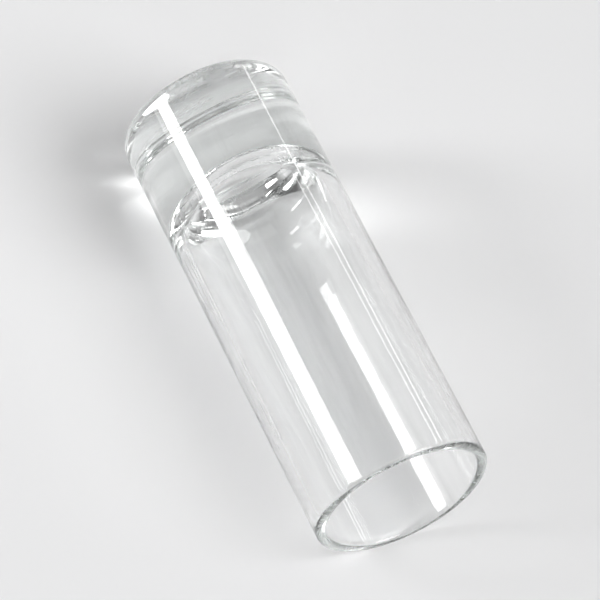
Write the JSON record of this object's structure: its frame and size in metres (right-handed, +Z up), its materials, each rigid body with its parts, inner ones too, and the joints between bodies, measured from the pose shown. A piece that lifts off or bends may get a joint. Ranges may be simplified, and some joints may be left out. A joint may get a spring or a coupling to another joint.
{
  "type": "tall shot glass",
  "caption": "Tall straight-sided clear glass tube with one open end, a rounded lip and a thick solid base, lying on its side.",
  "frame": {"origin": "on the surface that the glass lies on, under the middle of its length and width", "axes": "+Z up. The glass lies on its side with its axis along Y: the open mouth faces -Y and the foot of the solid base faces +Y"},
  "size_m": [0.0382, 0.1016, 0.0381],
  "materials": {
    "clear_glass": "fire-polished, clear, with a faint green-grey cast in thick places"
  },
  "bodies": {
    "root": {"glass_tube": "clear_glass"}
  },
  "joints": []
}
